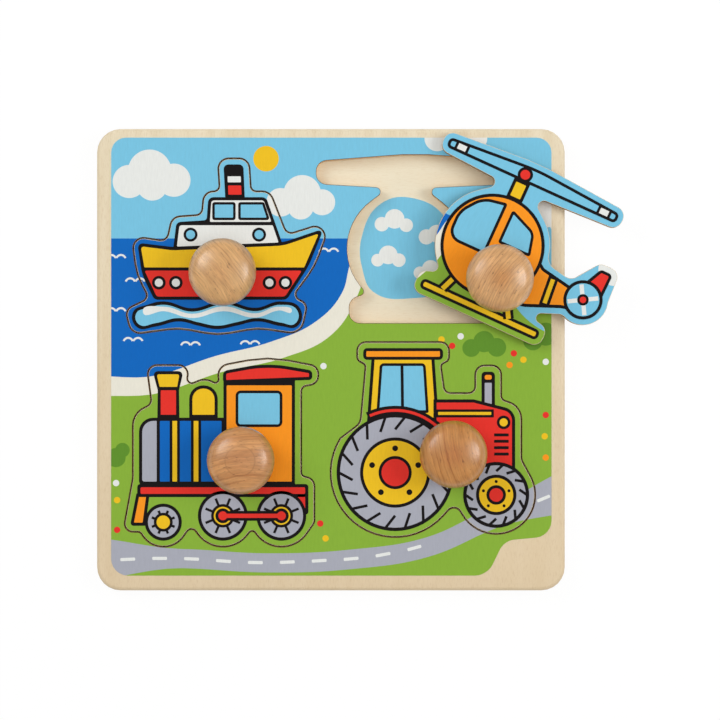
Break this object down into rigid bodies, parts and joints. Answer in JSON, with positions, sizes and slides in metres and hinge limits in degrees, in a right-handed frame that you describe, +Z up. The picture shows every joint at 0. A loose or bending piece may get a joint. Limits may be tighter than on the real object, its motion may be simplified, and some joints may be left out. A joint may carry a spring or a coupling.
{
  "type": "peg puzzle",
  "caption": "Square wooden tray puzzle with vehicle-shaped lift-out pieces, each carried by a large turned knob; the helicopter lies loose on the tray beside its empty recess.",
  "frame": {"origin": "middle of the tray, on its underside", "axes": "+X to the right and +Y to the top of the picture on the tray, +Z up out of the picture"},
  "size_m": [0.2471, 0.217, 0.039],
  "materials": {
    "tray_plywood": "sanded birch plywood with a satin lacquer",
    "panel_print": "screen-printed birch plywood, bare at the border",
    "boat_print": "screen-printed birch plywood",
    "helicopter_print": "screen-printed birch plywood",
    "train_print": "screen-printed birch plywood",
    "tractor_print": "screen-printed birch plywood",
    "turned_beech": "turned, clear satin lacquer",
    "zinc_steel": "zinc plated"
  },
  "bodies": {
    "tray": {"back_board": "tray_plywood", "frame_board": "panel_print"},
    "boat": {"boat_piece": "boat_print", "boat_knob": "turned_beech", "boat_screw": "zinc_steel"},
    "helicopter": {"helicopter_piece": "helicopter_print", "helicopter_knob": "turned_beech", "helicopter_screw": "zinc_steel"},
    "train": {"train_piece": "train_print", "train_knob": "turned_beech", "train_screw": "zinc_steel"},
    "tractor": {"tractor_piece": "tractor_print", "tractor_knob": "turned_beech", "tractor_screw": "zinc_steel"}
  },
  "joints": [
    {"name": "boat_lift", "type": "slide", "parent": "tray", "child": "boat", "axis": [0, 0, 1], "range_m": [0, 0.06]},
    {"name": "helicopter_lift", "type": "slide", "parent": "tray", "child": "helicopter", "axis": [0, 0, 1], "range_m": [0, 0.06]},
    {"name": "train_lift", "type": "slide", "parent": "tray", "child": "train", "axis": [0, 0, 1], "range_m": [0, 0.06]},
    {"name": "tractor_lift", "type": "slide", "parent": "tray", "child": "tractor", "axis": [0, 0, 1], "range_m": [0, 0.06]}
  ]
}
